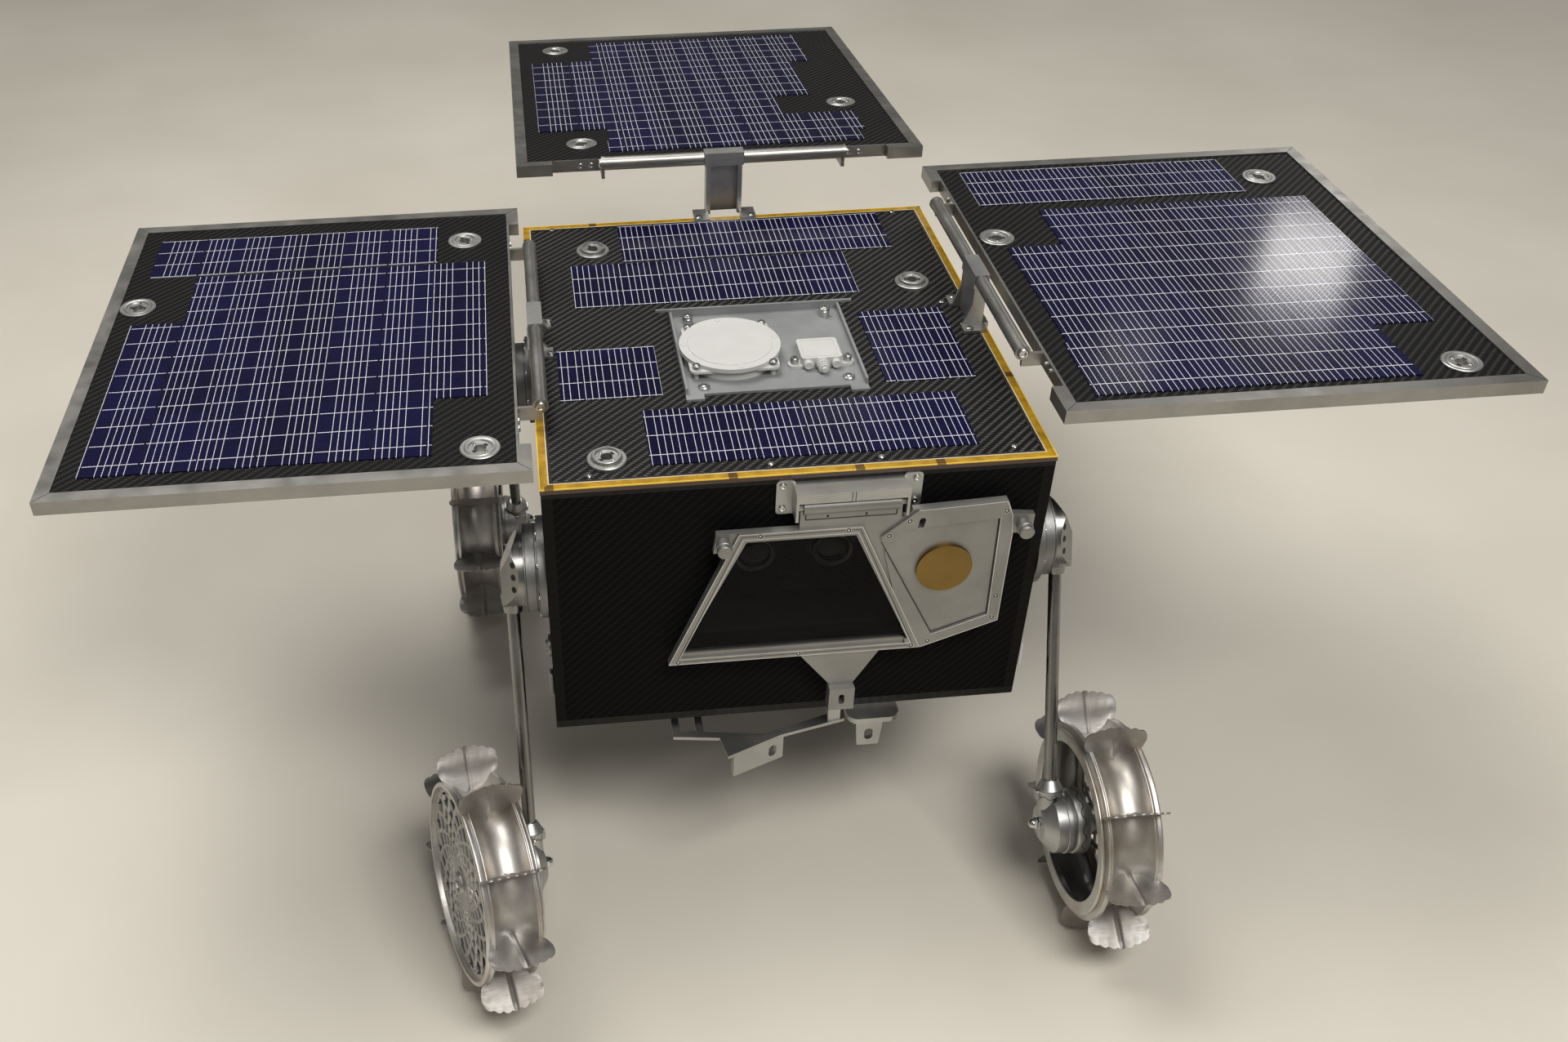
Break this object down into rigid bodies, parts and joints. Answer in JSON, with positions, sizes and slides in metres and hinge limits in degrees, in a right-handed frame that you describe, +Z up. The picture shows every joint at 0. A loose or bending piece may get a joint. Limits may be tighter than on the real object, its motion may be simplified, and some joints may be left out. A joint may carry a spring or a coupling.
{
  "type": "planetary rover",
  "caption": "Box-bodied rover on four swinging legs with grousered metal wheels, three hinged solar panels that fold over its deck, and a camera window behind a swing-up cover.",
  "frame": {"origin": "centre of the underside of the chassis box", "axes": "+X to the right as seen from the camera face's front, -Y out of the camera face, +Z up"},
  "size_m": [1.0651, 1.0357, 0.4861],
  "materials": {
    "carbon_skin": "woven carbon-fibre laminate, satin",
    "bay_black": "black, matt",
    "lens_black": "black, glossy",
    "equipment": "plain, out of sight",
    "amber_tape": "amber polyimide tape with brown patches",
    "cells": "navy solar cells with fine white lines, glossy",
    "bare_aluminium": "milled, satin",
    "tray_grey": "grey, satin",
    "antenna_white": "white, matt",
    "drive_metal": "grey, satin",
    "wheel_metal": "bright sheet metal, satin",
    "dark_glass": "dark, polished",
    "gold": "gold-plated, polished"
  },
  "bodies": {
    "chassis": {"belly_panel": "carbon_skin", "deck_panel": "carbon_skin", "side_panels": "carbon_skin", "rear_panel": "carbon_skin", "front_panel": "carbon_skin", "camera_bay": "bay_black", "camera_lenses": "lens_black", "equipment_block": "equipment", "edge_tape": "amber_tape", "deck_cells": "cells", "deck_cups": "bare_aluminium", "instrument_tray": "tray_grey", "round_antenna": "antenna_white", "small_antenna": "antenna_white", "side_brackets": "bare_aluminium", "rear_mast": "bare_aluminium", "shutter_bracket": "bare_aluminium", "belly_arm": "bare_aluminium", "belly_bracket": "bare_aluminium", "shoulder_flanges": "drive_metal", "shoulder_drives": "drive_metal"},
    "panel_left": {"panel_left_frame": "bare_aluminium", "panel_left_board": "carbon_skin", "panel_left_cells": "cells", "panel_left_cups": "bare_aluminium", "panel_left_hinge": "bare_aluminium"},
    "panel_right": {"panel_right_frame": "bare_aluminium", "panel_right_board": "carbon_skin", "panel_right_cells": "cells", "panel_right_cups": "bare_aluminium", "panel_right_hinge": "bare_aluminium"},
    "panel_rear": {"panel_rear_frame": "bare_aluminium", "panel_rear_board": "carbon_skin", "panel_rear_cells": "cells", "panel_rear_cups": "bare_aluminium", "panel_rear_hinge": "bare_aluminium"},
    "shutter": {"shutter_frame": "bare_aluminium", "window_glass": "dark_glass", "gold_disc": "gold"},
    "leg_front_left": {"front_left_arm": "drive_metal", "front_left_foot": "drive_metal"},
    "wheel_front_left": {"front_left_rim": "wheel_metal", "front_left_web": "wheel_metal"},
    "leg_front_right": {"front_right_arm": "drive_metal", "front_right_foot": "drive_metal"},
    "wheel_front_right": {"front_right_rim": "wheel_metal", "front_right_web": "wheel_metal"},
    "leg_rear_left": {"rear_left_arm": "drive_metal", "rear_left_foot": "drive_metal"},
    "wheel_rear_left": {"rear_left_rim": "wheel_metal", "rear_left_web": "wheel_metal"},
    "leg_rear_right": {"rear_right_arm": "drive_metal", "rear_right_foot": "drive_metal"},
    "wheel_rear_right": {"rear_right_rim": "wheel_metal", "rear_right_web": "wheel_metal"}
  },
  "joints": [
    {"name": "panel_left_hinge", "type": "hinge", "parent": "chassis", "child": "panel_left", "pos_m": [-0.1805, 0, 0.255], "axis": [0, 1, 0], "range_deg": [0, 180]},
    {"name": "panel_right_hinge", "type": "hinge", "parent": "chassis", "child": "panel_right", "pos_m": [0.1773, 0, 0.275], "axis": [0, -1, 0], "range_deg": [0, 180]},
    {"name": "panel_rear_hinge", "type": "hinge", "parent": "chassis", "child": "panel_rear", "pos_m": [0.0015, 0.2179, 0.2885], "axis": [1, 0, 0], "range_deg": [0, 184.5]},
    {"name": "shutter_hinge", "type": "hinge", "parent": "chassis", "child": "shutter", "pos_m": [0.035, -0.216, 0.2135], "axis": [-1, 0, 0], "range_deg": [0, 100]},
    {"name": "shoulder_front_left", "type": "hinge", "parent": "chassis", "child": "leg_front_left", "pos_m": [-0.212, -0.168, 0.137], "axis": [-1, 0, 0], "range_deg": [-22.7, 57.3]},
    {"name": "shoulder_front_right", "type": "hinge", "parent": "chassis", "child": "leg_front_right", "pos_m": [0.212, -0.168, 0.137], "axis": [-1, 0, 0], "range_deg": [-22.7, 57.3]},
    {"name": "shoulder_rear_left", "type": "hinge", "parent": "chassis", "child": "leg_rear_left", "pos_m": [-0.212, 0.1, 0.137], "axis": [1, 0, 0], "range_deg": [-22.7, 57.3]},
    {"name": "shoulder_rear_right", "type": "hinge", "parent": "chassis", "child": "leg_rear_right", "pos_m": [0.212, 0.1, 0.137], "axis": [1, 0, 0], "range_deg": [-22.7, 57.3]},
    {"name": "axle_front_left", "type": "hinge", "parent": "leg_front_left", "child": "wheel_front_left", "pos_m": [-0.212, -0.26409, -0.09271], "axis": [-0.9511, -0.2851, 0.1193], "continuous": true},
    {"name": "axle_front_right", "type": "hinge", "parent": "leg_front_right", "child": "wheel_front_right", "pos_m": [0.212, -0.26409, -0.09271], "axis": [1, 0, 0], "continuous": true},
    {"name": "axle_rear_left", "type": "hinge", "parent": "leg_rear_left", "child": "wheel_rear_left", "pos_m": [-0.212, 0.19609, -0.09271], "axis": [-1, 0, 0], "continuous": true},
    {"name": "axle_rear_right", "type": "hinge", "parent": "leg_rear_right", "child": "wheel_rear_right", "pos_m": [0.212, 0.19609, -0.09271], "axis": [1, 0, 0], "continuous": true}
  ]
}
